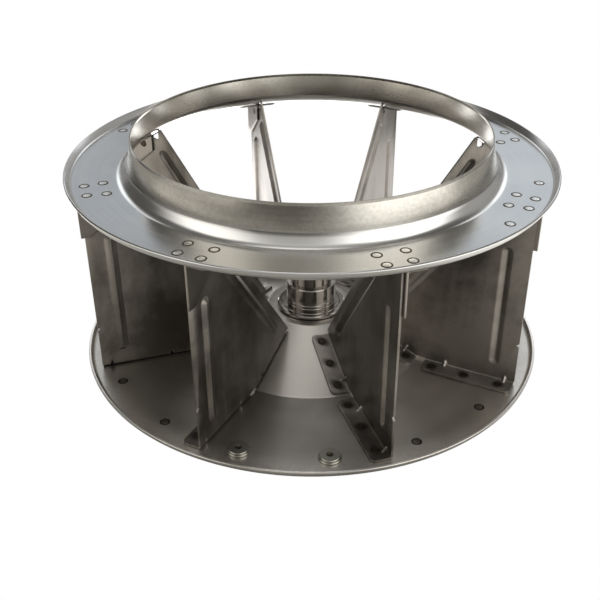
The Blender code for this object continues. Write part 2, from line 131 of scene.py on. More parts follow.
# Each panel's side, azimuths from straight behind, heights and colour; a later one lies on top.
PANELS = (
    ("left", SIDE_AZIMUTHS, (15.0, 23.0, 28.0, 36.0), (0.58, 0.63, 0.69, 1.0)),
    ("right", SIDE_AZIMUTHS, LOW_HEIGHTS, (0.80, 0.87, 0.95, 1.0)),
    ("left", RISING_AZIMUTHS, RISING_HEIGHTS, (1.2, 1.22, 1.24, 1.0)),
    ("right", RISING_AZIMUTHS, RISING_HEIGHTS, (1.8, 1.83, 1.86, 1.0)),
    ("left", LOW_AZIMUTHS, LOW_HEIGHTS, (1.9, 2.0, 2.1, 1.0)),
    ("right", LOW_AZIMUTHS, LOW_HEIGHTS, (2.3, 2.4, 2.5, 1.0)),
    ("left", (36.0, 46.0, 72.0, 84.0), (-6.0, 2.0, 40.0, 56.0), (0.12, 0.115, 0.11, 1.0)),
    ("left", (88.0, 104.0, 124.0, 148.0), (2.0, 9.0, 20.0, 34.0), (1.5, 1.45, 1.36, 1.0)),
    ("left", (78.0, 98.0, 116.0, 152.0), (8.0, 32.0, 54.0, 68.0), (2.0, 1.96, 1.88, 1.0)),
    ("right", (78.0, 98.0, 138.0, 174.0), (-8.0, 4.0, 54.0, 68.0), (2.5, 2.48, 2.42, 1.0)),
)
TOP_LIGHT = (1.5, 1.49, 1.46, 1.0)
TOP_MIDDLE = -0.05
TOP_HALF_WIDTH = (0.24, 0.09)
TOP_NEAR_END = (0.05, 0.14)
TOP_FAR_END = (0.64, 0.46)
TOP_LOW_END = (0.4, 0.6)
FRONT_TO_BACK = (-0.5, 0.5)
LEFT_TO_RIGHT = (-0.02, 0.02)
FLOOR_LEFT_TO_RIGHT = (-0.1, 0.1)


def put(tree, kind, inputs=(), **settings):
    """Add a node to a tree; an input takes a value or another node's output."""
    item = tree.nodes.new(kind)
    for key, value in settings.items():
        setattr(item, key, value)
    for key, value in dict(inputs).items():
        if isinstance(value, bpy.types.NodeSocket):
            tree.links.new(value, item.inputs[key])
        else:
            item.inputs[key].default_value = value
    return item


def calc(tree, operation, first, second=0.0):
    return put(tree, "ShaderNodeMath", {0: first, 1: second}, operation=operation).outputs[0]


def ramp(tree, value, start, end, low=0.0, high=1.0, kind="SMOOTHSTEP"):
    """A step from low to high, smooth or straight, as the value goes from start to end."""
    return put(tree, "ShaderNodeMapRange", {
        "Value": value, "From Min": start, "From Max": end, "To Min": low, "To Max": high},
        interpolation_type=kind).outputs[0]


def blend(tree, share, first, second):
    return put(tree, "ShaderNodeMix", {
        "Factor": share, 6: first, 7: second}, data_type="RGBA").outputs[2]


def blank_material(name):
    material = bpy.data.materials.new(name)
    material.use_nodes = True
    material.node_tree.nodes.clear()
    return material, material.node_tree


def finish_material(material, shader):
    tree = material.node_tree
    put(tree, "ShaderNodeOutputMaterial", {"Surface": shader.outputs[0]})
    return material


def floor_white():
    """White to the camera; the metal sees a painted shadow round the wheel and uneven painted light
    round it.
    """
    material, tree = blank_material("floor_white")
    where = put(tree, "ShaderNodeTexCoord").outputs["Object"]
    place = put(tree, "ShaderNodeSeparateXYZ", {0: where}).outputs
    away = put(tree, "ShaderNodeVectorMath", {0: where}, operation="LENGTH").outputs["Value"]
    beside = ramp(tree, place["Y"], *FLOOR_SIDE_END)
    to_left = calc(tree, "MULTIPLY", ramp(tree, place["X"], *FLOOR_LEFT_FADE), beside)
    to_right = calc(tree, "MULTIPLY", ramp(tree, place["X"], *FLOOR_RIGHT_FADE), beside)
    shade = blend(tree, to_left, FLOOR_FRONT, FLOOR_LEFT)
    shade = blend(tree, to_right, shade, FLOOR_RIGHT)
    shade = blend(tree, ramp(tree, away, *FLOOR_END), shade, FLOOR_FRONT)
    behind = calc(tree, "MULTIPLY", ramp(tree, place["Y"], *FLOOR_BEHIND_FADE),
                  ramp(tree, away, *FLOOR_BEHIND_END))
    white = blend(tree, ramp(tree, place["X"], *FLOOR_LEFT_TO_RIGHT),
                  FLOOR_BEHIND_LEFT, FLOOR_BEHIND_RIGHT)
    shade = blend(tree, behind, shade, white)
    shade = blend(tree, ramp(tree, away, *FLOOR_PAINTED_SHADOW_REACH), FLOOR_PAINTED_SHADOW, shade)
    seen = put(tree, "ShaderNodeLightPath").outputs["Is Camera Ray"]
    glow = put(tree, "ShaderNodeEmission", {"Color": blend(tree, seen, shade, WHITE)})
    return finish_material(material, glow)


floor_mesh = bpy.data.meshes.new("floor")
bm = bmesh.new()
bmesh.ops.create_grid(bm, x_segments=1, y_segments=1, size=FLOOR_SIZE / 2.0)
bmesh.ops.translate(bm, vec=(0.0, 0.0, -FLOOR_DROP), verts=bm.verts[:])
bm.to_mesh(floor_mesh)
bm.free()
floor = bpy.data.objects.new("floor", floor_mesh)
floor_mesh.materials.append(floor_white())
bpy.context.scene.collection.objects.link(floor)


def panel(tree, aside, high, azimuths, heights):
    """How far a direction lies inside a soft-edged panel, from its azimuth and its height."""
    first, full, fade, last = [math.radians(angle) for angle in azimuths]
    share = calc(tree, "MULTIPLY", ramp(tree, aside, first, full), ramp(tree, aside, last, fade))
    first, full, fade, last = [math.radians(angle) for angle in heights]
    share = calc(tree, "MULTIPLY", share, ramp(tree, high, first, full))
    return calc(tree, "MULTIPLY", share, ramp(tree, high, last, fade))


def studio_world():
    """The lights as the metal sees them, by azimuth from straight behind and by height."""
    world = bpy.data.worlds.new("studio")
    bpy.context.scene.world = world
    world.use_nodes = True
    tree = world.node_tree
    tree.nodes.clear()
    way = put(tree, "ShaderNodeTexCoord").outputs["Generated"]
    turned_way = put(tree, "ShaderNodeVectorRotate", {
        "Vector": way, "Angle": math.radians(270.0 - CAMERA_AZIMUTH)}, rotation_type="Z_AXIS")
    parts = put(tree, "ShaderNodeSeparateXYZ", {0: turned_way.outputs[0]}).outputs
    aside = calc(tree, "ARCTAN2", calc(tree, "ABSOLUTE", parts["X"]), parts["Y"])
    high = calc(tree, "ARCSINE", parts["Z"])
    to_right = ramp(tree, parts["X"], *LEFT_TO_RIGHT)
    behind = blend(tree, ramp(tree, parts["Z"], *BACK_REACH), BACK_DIM, BACK_HIGH)
    in_front = blend(tree, ramp(tree, parts["Z"], *ZENITH_REACH), FRONT_DIM, ZENITH_DIM)
    sky = blend(tree, ramp(tree, parts["Y"], *FRONT_TO_BACK), in_front, behind)
    dark = panel(tree, aside, high, HORIZON_AZIMUTHS, HORIZON_HEIGHTS)
    sky = blend(tree, dark, sky, HORIZON_DIM)
    on_side = {"left": calc(tree, "SUBTRACT", 1.0, to_right), "right": to_right}
    for side, azimuths, heights, colour in PANELS:
        share = panel(tree, aside, high, azimuths, heights)
        sky = blend(tree, calc(tree, "MULTIPLY", share, on_side[side]), sky, colour)
    across = calc(tree, "ABSOLUTE", calc(tree, "SUBTRACT", parts["X"], TOP_MIDDLE))
    top = calc(tree, "MULTIPLY", ramp(tree, across, *TOP_HALF_WIDTH),
               ramp(tree, parts["Y"], *TOP_NEAR_END))
    top = calc(tree, "MULTIPLY", top, ramp(tree, parts["Y"], *TOP_FAR_END))
    top = calc(tree, "MULTIPLY", top, ramp(tree, parts["Z"], *TOP_LOW_END))
    sky = blend(tree, top, sky, TOP_LIGHT)
    seen = put(tree, "ShaderNodeLightPath").outputs["Is Camera Ray"]
    shown = put(tree, "ShaderNodeBackground", {"Color": blend(tree, seen, sky, WHITE)})
    put(tree, "ShaderNodeOutputWorld", {"Surface": shown.outputs[0]})


studio_world()
bpy.context.scene.view_settings.view_transform = "Standard"

# Back plate.
# One disc of 2.5 mm steel sheet: a flat rim with a lip turned nearly straight up, the rim's outer
# part and the lip lightened as a painted highlight, and a pressed cone with a flat top for the hub.
# Rolled finish, nearly a mirror, faintly stained.
WHEEL_RADIUS = 232.0
TURN_STEPS = 288
BEND_PITCH = 7.5
PLATE_THICKNESS = 2.5
PLATE_LIP_HEIGHT = 7.5
CONE_BASE_RADIUS = 121.0
CONE_TOP_RADIUS = 45.0
CONE_TOP_HEIGHT = 36.0
CONE_BEND_RADIUS = 8.0
PLATE_HOLE_RADIUS = 20.0
PLATE_LIP = (78.0, 4.5)
EDGE_RADIUS = 0.45
CORNER_STEPS = 3
SHARP_ANGLE = 35.0
CLOUD_SCALE = 14.0
CLOUD_SHARE = 0.7
LANE_STRETCH = (5.0, 5.0, 0.0)
STREAK_SHARE = 0.3
TONE_SPREAD = (0.35, 0.65)
GLOSS_SPREAD = (0.3, 0.7)
BLOT_SCALE = 6.0
BLOT_SPREAD = (0.52, 0.78)
GRAIN_SCALE = 320.0
GRAIN_SPREAD = (0.40, 0.62)
GRAIN_DARK = 0.92
LINE_DEPTH = 0.0006
BROWN_STAIN = (0.10, 0.07, 0.04, 1.0)
ACROSS_THE_TURN = 0.25
PLATE_TONES = ((0.50, 0.478, 0.442, 1.0), (0.40, 0.38, 0.35, 1.0))
PLATE_ROUGHNESS = (0.29, 0.37)
PLATE_STREAK_PITCH = 30.0
# The outer part of the flat rim and the lip are lightened in colour: a painted highlight.
RIM_PAINTED_HIGHLIGHT_TINT = (1.62, 1.64, 1.66, 1.0)
RIM_PAINTED_HIGHLIGHT_FROM_END = (6.0, 34.0)


def walk(start, heading, moves):
    """Stations (radius, height, heading) along straight runs and round bends."""
    r, z = start
    stations = [(r, z, heading)]
    for kind, *values in moves:
        if kind == "line":
            r += values[0] * cos_of(heading)
            z += values[0] * sin_of(heading)
            stations.append((r, z, heading))
            continue
        radius, bend = values
        way = math.copysign(1.0, bend)
        centre_r = r - way * radius * sin_of(heading)
        centre_z = z + way * radius * cos_of(heading)
        steps = math.ceil(abs(bend) / BEND_PITCH)
        for step in range(1, steps + 1):
            angle = heading + bend * step / steps
            r = centre_r + way * radius * sin_of(angle)
            z = centre_z - way * radius * cos_of(angle)
            stations.append((r, z, angle))
        heading += bend
    return stations


def sheet_outline(stations, thickness):
    """Closed outline (radius, height, distance along) of a sheet, from its middle's stations."""
    half = thickness / 2.0
    travelled = [0.0]
    for (r0, z0, _), (r1, z1, _) in zip(stations, stations[1:]):
        travelled.append(travelled[-1] + math.hypot(r1 - r0, z1 - z0))

    def rounded_end(station, way, distance):
        r, z, heading = station
        out = Vector((cos_of(heading), sin_of(heading))) * way
        square = Vector((-out.y, out.x)) * way
        points = []
        for face, first in ((way, 90.0), (-way, 0.0)):
            for step in range(CORNER_STEPS + 1):
                angle = math.radians(first - 90.0 * step / CORNER_STEPS)
                centre = Vector((r, z)) + square * face * way * (half - EDGE_RADIUS)
                centre -= out * EDGE_RADIUS
                reach = out * math.cos(angle) + square * way * math.sin(angle)
                spot = centre + reach * EDGE_RADIUS
                points.append((spot.x, spot.y, distance))
        return points

    upper, lower = [], []
    for (r, z, heading), distance in zip(stations, travelled):
        across = -sin_of(heading) * half
        over = cos_of(heading) * half
        upper.append((r + across, z + over, distance))
        lower.append((r - across, z - over, distance))
    return (
        upper[1:-1]
        + rounded_end(stations[-1], 1.0, travelled[-1])
        + lower[-2:0:-1]
        + rounded_end(stations[0], -1.0, 0.0)
    )


def mesh_from(bm, name, sharp=SHARP_ANGLE):
    """Turn a bmesh into a smooth-shaded mesh with sharp edges where its faces meet at an angle."""
    mesh = bpy.data.meshes.new(name)
    bmesh.ops.recalc_face_normals(bm, faces=bm.faces[:])
    bm.to_mesh(mesh)
    bm.free()
    mesh.shade_smooth()
    mesh.set_sharp_from_angle(angle=math.radians(sharp))
    return mesh


def turned(name, outline, steps, place=(0.0, 0.0, 0.0), sharp=SHARP_ANGLE):
    """Turn a closed outline about the upright axis through a place given in metres."""
    bm = bmesh.new()
    along = bm.verts.layers.float.new("along")
    rings = []
    for step in range(steps):
        ring = []
        for r, z, distance in outline:
            vertex = bm.verts.new(on_ray(r, 360.0 * step / steps, z) + Vector(place))
            vertex[along] = distance
            ring.append(vertex)
        rings.append(ring)
    count = len(outline)
    for near, far in zip(rings, rings[1:] + rings[:1]):
        for i in range(count):
            j = (i + 1) % count
            bm.faces.new((near[i], near[j], far[j], far[i]))
    bmesh.ops.remove_doubles(bm, verts=bm.verts[:], dist=0.000001)
    return mesh_from(bm, name, sharp)


def lip_stations(height, thickness, flat_height, lip):
    """The turned-up rim, given its angle and bend radius, up to the wheel's radius and a height."""
    angle, bend = lip
    half = thickness / 2.0
    rise = height - half * cos_of(angle) - flat_height
    straight = (rise - bend * (1.0 - cos_of(angle))) / sin_of(angle)
    moves = [("turn", bend, angle), ("line", straight)]
    end_r, _, _ = walk((0.0, 0.0), 0.0, moves)[-1]
    flat_end = WHEEL_RADIUS - end_r - half * sin_of(angle)
    return walk((flat_end, flat_height), 0.0, moves)


def plate_stations():
    half = PLATE_THICKNESS / 2.0
    height = CONE_TOP_HEIGHT - half
    fall = height - half
    reach = CONE_BASE_RADIUS - CONE_TOP_RADIUS
    slope = math.degrees(math.atan2(fall, reach))
    tangent = CONE_BEND_RADIUS * math.tan(math.radians(slope / 2.0))
    cone = walk((PLATE_HOLE_RADIUS, height), 0.0, [
        ("line", CONE_TOP_RADIUS - tangent - PLATE_HOLE_RADIUS),
        ("turn", CONE_BEND_RADIUS, -slope),
        ("line", math.hypot(fall, reach) - 2.0 * tangent),
        ("turn", CONE_BEND_RADIUS, slope),
    ])
    return cone + lip_stations(PLATE_LIP_HEIGHT, PLATE_THICKNESS, half, PLATE_LIP)


def noise(tree, where, scale, detail, **more):
    """Clouds at a scale in periods a metre, with finer detail."""
    inputs = {"Vector": where, "Scale": scale, "Detail": detail, **more}
    return put(tree, "ShaderNodeTexNoise", inputs).outputs[0]


def bare_metal(material, colour, gloss, relief, more=()):
    """Finish a material as metal; relief is a bump's strength, distance and height."""
    tree = material.node_tree
    bump = put(tree, "ShaderNodeBump", zip(("Strength", "Distance", "Height"), relief))
    inputs = {"Base Color": colour, "Metallic": 1.0, "Roughness": gloss,
              "Normal": bump.outputs[0], **dict(more)}
    return finish_material(material, put(tree, "ShaderNodeBsdfPrincipled", inputs))


def round_the_shaft(tree, where):
    """The direction that turning marks run in at each point."""
    return put(tree, "ShaderNodeVectorMath", {0: (0.0, 0.0, 1.0), 1: where},
               operation="CROSS_PRODUCT").outputs[0]


def steel(name, tones, roughness, pitch, stain=BROWN_STAIN, stain_share=0.25, band=None,
          turned_finish=0.0):
    """Bare steel: a light and a dark tone in clouds and streaks, with faint stains.

    band takes the distances along the sheet where a tinted band is full and where it ends, the tint
    that its tone is multiplied by, its added roughness and its lines' depth. On the back plate the
    band is a painted highlight; on the neck and in the weights' dimples it is tinted and roughened
    steel.
    """
    material, tree = blank_material(name)
    light, dark = tones
    where = put(tree, "ShaderNodeTexCoord").outputs["Object"]
    along = put(tree, "ShaderNodeAttribute", attribute_name="along").outputs["Fac"]
    cloud = noise(tree, where, CLOUD_SCALE, 5.0)
    flat = put(tree, "ShaderNodeVectorMath", {0: where, 1: LANE_STRETCH}, operation="MULTIPLY")
    lift = put(tree, "ShaderNodeCombineXYZ", {"Z": calc(tree, "DIVIDE", along, pitch)})
    lane = put(tree, "ShaderNodeVectorMath", {0: flat.outputs[0], 1: lift.outputs[0]})
    streak = noise(tree, lane.outputs[0], 1.0, 2.0)
    tone = calc(tree, "ADD", calc(tree, "MULTIPLY", cloud, CLOUD_SHARE),
                calc(tree, "MULTIPLY", streak, STREAK_SHARE))
    colour = blend(tree, ramp(tree, tone, *TONE_SPREAD), dark, light)
    blot = noise(tree, where, BLOT_SCALE, 8.0, Roughness=0.62, Distortion=0.4)
    colour = blend(tree, ramp(tree, blot, *BLOT_SPREAD, 0.0, stain_share), colour, stain)
    gloss = ramp(tree, tone, *GLOSS_SPREAD, *roughness)
    depth = 0.0
    if band:
        full, end, tint, extra, lines = band
        share = ramp(tree, along, end, full)
        mottle = ramp(tree, noise(tree, where, GRAIN_SCALE, 3.0), *GRAIN_SPREAD)
        spotted = blend(tree, mottle, [GRAIN_DARK * c for c in tint[:3]] + [1.0], tint)
        colour = put(tree, "ShaderNodeMix", {
            "Factor": share, 6: colour, 7: spotted}, data_type="RGBA",
            blend_type="MULTIPLY").outputs[2]
        gloss = calc(tree, "ADD", gloss, calc(tree, "MULTIPLY", share, extra))
        depth = calc(tree, "MULTIPLY", share, lines)
    more = {}
    if turned_finish:
        more = {"Anisotropic": turned_finish, "Anisotropic Rotation": ACROSS_THE_TURN,
                "Tangent": round_the_shaft(tree, where)}
    return bare_metal(material, colour, gloss, (depth, LINE_DEPTH, streak), more)


def show(name, mesh, material, slot, *nodes):
    """Show a finished piece in place of its nodes in the frame."""
    piece = bpy.data.objects.new(name, mesh)
    if material is not None:
        mesh.materials.clear()
        mesh.materials.append(material)
    bpy.context.scene.collection.objects.link(piece)
    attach(piece, "root")
    if nodes:
        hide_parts(*nodes)


plate_outline = sheet_outline(plate_stations(), PLATE_THICKNESS)
plate_length = max(distance for r, z, distance in plate_outline)
# Where the painted highlight on the rim's outer part and the lip is full and where it ends.
highlight_full, highlight_end = [plate_length - inset for inset in RIM_PAINTED_HIGHLIGHT_FROM_END]
plate_steel = steel("plate_steel", PLATE_TONES, PLATE_ROUGHNESS, PLATE_STREAK_PITCH,
                    stain_share=0.22, band=(highlight_full, highlight_end, RIM_PAINTED_HIGHLIGHT_TINT, 0.0, 0.0))
plate_mesh = turned("spun_back_plate", plate_outline, TURN_STEPS)
show("spun_back_plate", plate_mesh, plate_steel, "plate_steel", "back_plate")

# Ring marks on the back plate.
# Shallow rings pressed into the flat rim at an even pitch, where a balance weight can be fixed.
# The same tree lays the spot-weld marks on the blades, the brackets and the shroud.
BALANCE_CIRCLE = 207.0
BALANCE_FIRST_ANGLE = 31.0
BALANCE_STEP = 22.5
BALANCE_PLACES = 16
WEIGHT_ANGLES = (256.0, 278.5)
MARK_RADIUS = 4.1
MARK_BEAD = 1.7
MARK_BEAD_HEIGHT = 0.3
MARK_CROWN = 0.28
MARK_SEGMENTS = 28
BEAD_SEGMENTS = 8
CROWN_RINGS = 8
SPECK_SCALE = 420.0
SPECK_DEPTH = 0.0003
SPECK_STRENGTH = 0.25
RING_SHADE, CROWN_SHADE = 0.5, 0.75
# The plate's rings are painted dark as shade, round a crown darker than the plate.
PLATE_MARK_PAINTED_SHADE = (0.05, 0.044, 0.038, 1.0)
PLATE_MARK_CROWN = (0.22, 0.20, 0.18, 1.0)


def mark_steel(name, ring, crown, ring_rough=0.36, crown_rough=0.24):
    """A dark ring round a crown, told apart by the bead attribute: burnt steel at the flange and
    bracket welds, painted shade on the back plate's rings and on the shroud's welds, whose crowns
    are lightened as a painted highlight.
    """
    material, tree = blank_material(name)
    where = put(tree, "ShaderNodeTexCoord").outputs["Object"]
    bead = put(tree, "ShaderNodeAttribute", attribute_name="bead").outputs["Fac"]
    speck = noise(tree, where, SPECK_SCALE, 3.0)
    colour = blend(tree, bead, crown, ring)
    dark_crown = [c * CROWN_SHADE for c in crown[:3]] + [1.0]
    dark_ring = [c * RING_SHADE for c in ring[:3]] + [1.0]
    dark = blend(tree, bead, dark_crown, dark_ring)
    tone = blend(tree, ramp(tree, speck, *TONE_SPREAD), colour, dark)
    gloss = ramp(tree, bead, 0.0, 1.0, crown_rough, ring_rough)
    return bare_metal(material, tone, gloss, (SPECK_STRENGTH, SPECK_DEPTH, speck))


def spot_mark_tree():
    """Lay a raised ring and a low crown on every point, square to the point's facing."""
    tree = bpy.data.node_groups.new("Spot weld marks", "GeometryNodeTree")
    face = tree.interface
    face.new_socket(name="Points", in_out="INPUT", socket_type="NodeSocketGeometry")
    for name in ("Mark radius", "Bead width", "Bead height", "Crown height"):
        face.new_socket(name=name, in_out="INPUT", socket_type="NodeSocketFloat")
    face.new_socket(name="Steel", in_out="INPUT", socket_type="NodeSocketMaterial")
    face.new_socket(name="Marks", in_out="OUTPUT", socket_type="NodeSocketGeometry")
    given = put(tree, "NodeGroupInput").outputs
    path = put(tree, "GeometryNodeCurvePrimitiveCircle", {
        "Radius": given["Mark radius"], "Resolution": MARK_SEGMENTS})
    bead = calc(tree, "DIVIDE", given["Bead width"], 2.0)
    section = put(tree, "GeometryNodeCurvePrimitiveCircle", {
        "Radius": bead, "Resolution": BEAD_SEGMENTS})
    ring = put(tree, "GeometryNodeCurveToMesh", {
        "Curve": path.outputs["Curve"], "Profile Curve": section.outputs["Curve"]})
    flat = put(tree, "ShaderNodeCombineXYZ", {
        "X": 1.0, "Y": 1.0, "Z": calc(tree, "DIVIDE", given["Bead height"], bead)})
    low_ring = put(tree, "GeometryNodeTransform", {
        "Geometry": ring.outputs[0], "Scale": flat.outputs[0]})
    ball = put(tree, "GeometryNodeMeshUVSphere", {
        "Segments": MARK_SEGMENTS, "Rings": CROWN_RINGS, "Radius": given["Mark radius"]})
    low = put(tree, "ShaderNodeCombineXYZ", {
        "X": 1.0, "Y": 1.0, "Z": calc(tree, "DIVIDE", given["Crown height"], given["Mark radius"])})
    crown = put(tree, "GeometryNodeTransform", {
        "Geometry": ball.outputs["Mesh"], "Scale": low.outputs[0]})
    mark = put(tree, "GeometryNodeJoinGeometry")
    for part, value in ((crown, 0.0), (low_ring, 1.0)):
        told = put(tree, "GeometryNodeStoreNamedAttribute", {
            "Geometry": part.outputs[0], "Name": "bead", "Value": value}, data_type="FLOAT")
        tree.links.new(told.outputs[0], mark.inputs[0])
    smooth = put(tree, "GeometryNodeSetShadeSmooth", {"Geometry": mark.outputs[0]})
    facing = put(tree, "GeometryNodeInputNamedAttribute", {"Name": "facing"},
                 data_type="FLOAT_VECTOR")
    tilt = put(tree, "FunctionNodeAlignRotationToVector", {
        "Vector": facing.outputs["Attribute"]}, axis="Z")
    laid = put(tree, "GeometryNodeInstanceOnPoints", {
        "Points": given["Points"], "Instance": smooth.outputs[0], "Rotation": tilt.outputs[0]})
    whole = put(tree, "GeometryNodeRealizeInstances", {"Geometry": laid.outputs[0]})
    done = put(tree, "GeometryNodeSetMaterial", {
        "Geometry": whole.outputs[0], "Material": given["Steel"]})
    put(tree, "NodeGroupOutput", {"Marks": done.outputs[0]})
    return tree


MARK_TREE = spot_mark_tree()


def lay_marks(name, spots, slot, mark, radius=MARK_RADIUS):
    """Lay marks on spots, each a point and the way that it faces, and show them as one piece."""
    mesh = bpy.data.meshes.new(name)
    mesh.from_pydata([spot for spot, _ in spots], [], [])
    facing = mesh.attributes.new("facing", "FLOAT_VECTOR", "POINT")
    for item, (_, way) in zip(facing.data, spots):
        item.vector = way
    guide = bpy.data.objects.new(name + "_points", mesh)
    bpy.context.scene.collection.objects.link(guide)
    modifier = guide.modifiers.new("Marks", "NODES")
    modifier.node_group = MARK_TREE
    values = {"Mark radius": radius * MM, "Bead width": MARK_BEAD * MM,
              "Bead height": MARK_BEAD_HEIGHT * MM, "Crown height": MARK_CROWN * MM,
              "Steel": mark}
    for item in MARK_TREE.interface.items_tree:
        if item.in_out == "INPUT" and item.name in values:
            modifier[item.identifier] = values[item.name]
    graph = bpy.context.evaluated_depsgraph_get()
    marks = bpy.data.meshes.new_from_object(guide.evaluated_get(graph))
    marks.name = name
    bpy.data.objects.remove(guide, do_unlink=True)
    bpy.data.meshes.remove(mesh)
    show(name, marks, None, slot)


UP = Vector((0.0, 0.0, 1.0))
balance_angles = [BALANCE_FIRST_ANGLE + BALANCE_STEP * n for n in range(BALANCE_PLACES)]
balance_spots = [(on_ray(BALANCE_CIRCLE, angle, PLATE_THICKNESS), UP) for angle in balance_angles
                 if angle % 360.0 not in WEIGHT_ANGLES]
plate_mark = mark_steel("plate_mark", PLATE_MARK_PAINTED_SHADE, PLATE_MARK_CROWN)
lay_marks("balance_ring_marks", balance_spots, "plate_steel", plate_mark)

# Blades.
# Eight flat blades of 2 mm sheet on radial lines. Each is blanked with a slanting leading edge,
# pressed with two stiffening ribs, and folded: one flange on the flat of the back plate, one on
# its cone and one under the shroud, all to the clockwise side. Small darts stiffen the folds.
BLADE_COUNT = 8
FIRST_BLADE_ANGLE = 22.5
GAP = 0.3
SHEET = 2.0
BEND_RADIUS = 2.0
BEND_STEPS = 5
LEG_ROWS = 7
FLANGE_ROWS = 9
BROKEN_EDGE = 0.3
RIM_SLOT = 1
BEVEL_ANGLE = 75.0
FOLD_SHARP_ANGLE = 40.0
SHROUD_UNDERSIDE = 191.5
BLADE_TRAILING_RADIUS = 220.0
BLADE_LEADING_TOP = (174.0, 196.5)
BLADE_NOSE_RADIUS = 54.0
TOP_TAB_RADIUS = 176.5
RELIEF_DEPTH = 2.5
NOTCH_HEIGHT = 47.0
NOTCH_DEPTH = 3.0
NOTCH_HALF = 2.5
FLANGE_WIDTH = 19.0
FOOT_START, FOOT_END = 129.5, 219.5
CONE_START, CONE_END = 57.0, 119.0
HEAD_START, HEAD_END = 184.0, 217.0
CORNER_RADIUS = 5.0
DART_HEIGHT = 7.6
DART_REACH = 5.2
DART_HALF_WIDTH = 2.4
DART_END_SHARE = 0.25
DART_MARGIN = 0.6
LEAST_SPACING = 0.3
FOOT_DARTS = (150.0, 210.5)
CONE_DARTS = (54.0,)
FOOT_LEG, CONE_LEG, HEAD_LEG = 12.0, 12.0, 8.0
RIB_HALF_WIDTH = 5.5
RIB_HEIGHT = 3.0
RIB_CREST_RADIUS = 1.3
RIB_LOOPS = (7.5, 6.0, 5.5, 4.4, 3.3, 2.2, 1.3, 0.6)
RIB_END_STEPS = 12
UPRIGHT_RIB = ((198.0, 25.5), (198.0, 142.5))
SLANTED_RIB = ((82.1, 49.5), (171.9, 169.6))
LEVEL_CONE = Vector((CONE_BASE_RADIUS - CONE_TOP_RADIUS, PLATE_THICKNESS - CONE_TOP_HEIGHT))
DOWN_CONE = LEVEL_CONE.normalized()
OFF_CONE = Vector((-DOWN_CONE.y, DOWN_CONE.x))


def on_foot(s, across, height):
    """A point over the flat rim: s is its radius, height is above the flange's underside."""
    return Vector((s, across, PLATE_THICKNESS + GAP + height))


def on_cone(s, across, height):
    """A point over the cone: s runs down the slope from the flange's inner end."""
    base = Vector((CONE_TOP_RADIUS, CONE_TOP_HEIGHT)) + OFF_CONE * GAP
    start = base + DOWN_CONE * ((CONE_START - base.x) / DOWN_CONE.x)
    spot = start + DOWN_CONE * s + OFF_CONE * height
    angle = across / spot.x
    return Vector((spot.x * math.cos(angle), spot.x * math.sin(angle), spot.y))


def under_head(s, across, height):
    """A point under the shroud's flat ring, with heights measured downwards."""
    return Vector((s, across, SHROUD_UNDERSIDE - GAP - height))


def rounded_width(s, start, end, width):
    """A flange's width at s, with both outer corners rounded."""
    from_end = min(s - start, end - s, CORNER_RADIUS)
    return width - CORNER_RADIUS + math.sqrt(CORNER_RADIUS ** 2 - (CORNER_RADIUS - from_end) ** 2)


def places_along(start, end, darts, spacing=5.0):
    """Where to put the sections of a folded strip: close together at its ends and at its darts."""
    places = {start, end}
    count = round((end - start) / spacing)
    places.update(start + (end - start) * n / count for n in range(count + 1))
    for degrees in range(0, 91, 15):
        inset = CORNER_RADIUS * (1.0 - cos_of(degrees))
        places.update((start + inset, end - inset))
    for dart in darts:
        places.update(dart + DART_HALF_WIDTH * n / 5.0 for n in range(-6, 7))
    ordered = sorted(place for place in places if start <= place <= end)
    kept = [ordered[0]]
    for place in ordered[1:]:
        if place - kept[-1] > LEAST_SPACING:
            kept.append(place)
    kept[-1] = end
    return kept


def fold_path(leg, width):
    """Points (across, height) down the leg, round the bend and out along the flange."""
    bend = SHEET / 2.0 + BEND_RADIUS
    points = [(0.0, leg + (bend - leg) * n / LEG_ROWS) for n in range(LEG_ROWS)]
    for step in range(BEND_STEPS + 1):
        angle = math.radians(90.0 * step / BEND_STEPS)
        inward = -BEND_RADIUS * (1.0 - math.cos(angle))
        points.append((inward, bend - BEND_RADIUS * math.sin(angle)))
    points += [(-BEND_RADIUS - (width - BEND_RADIUS) * n / FLANGE_ROWS, SHEET / 2.0)
               for n in range(1, FLANGE_ROWS + 1)]
    return points


def press_dart(points, offset, reach):
    """Pull the bend towards a straight line across its inside, as a pressed dart does."""
    high = Vector((0.0, DART_HEIGHT))
    low = Vector((-reach, SHEET / 2.0))
    chord = low - high
    pressed = []
    for point in map(Vector, points):
        share = (point - high).dot(chord) / chord.length_squared
        if not 0.0 < share < 1.0:
            pressed.append(point)
            continue
        spread = DART_HALF_WIDTH * (DART_END_SHARE + (1.0 - DART_END_SHARE)
                                    * math.sin(math.pi * share))
        pull = max(0.0, 1.0 - abs(offset) / spread)
        pull = pull * pull * (3.0 - 2.0 * pull)
        pressed.append(point.lerp(high + chord * share, pull))
    return pressed


def folded_strip(bm, unrolled, frame_of, places, leg_of, width_of, darts=()):
    """Lay a folded strip of sheet into the bmesh; return its rows of vertices by place."""
    columns = []
    for s in places:
        leg, width = leg_of(s), width_of(s)
        points = fold_path(leg, width)
        spots = [Vector(point) for point in points]
        for dart in darts:
            if abs(s - dart) < DART_HALF_WIDTH:
                spots = press_dart(points, s - dart, min(DART_REACH, width - DART_MARGIN))
        column = []
        passed = 0.0
        for number, (flat, spot) in enumerate(zip(points, spots)):
            if number:
                passed += math.dist(points[number - 1], flat)
            vertex = bm.verts.new(frame_of(s, spot[0], spot[1]) * MM)
            upright = frame_of(s, 0.0, leg)
            vertex[unrolled] = Vector((upright.x, upright.z - passed, 0.0)) * MM
            column.append(vertex)
        columns.append(column)
    for near, far in zip(columns, columns[1:]):
        for i in range(len(near) - 1):
            bm.faces.new((near[i], near[i + 1], far[i + 1], far[i]))
    return columns


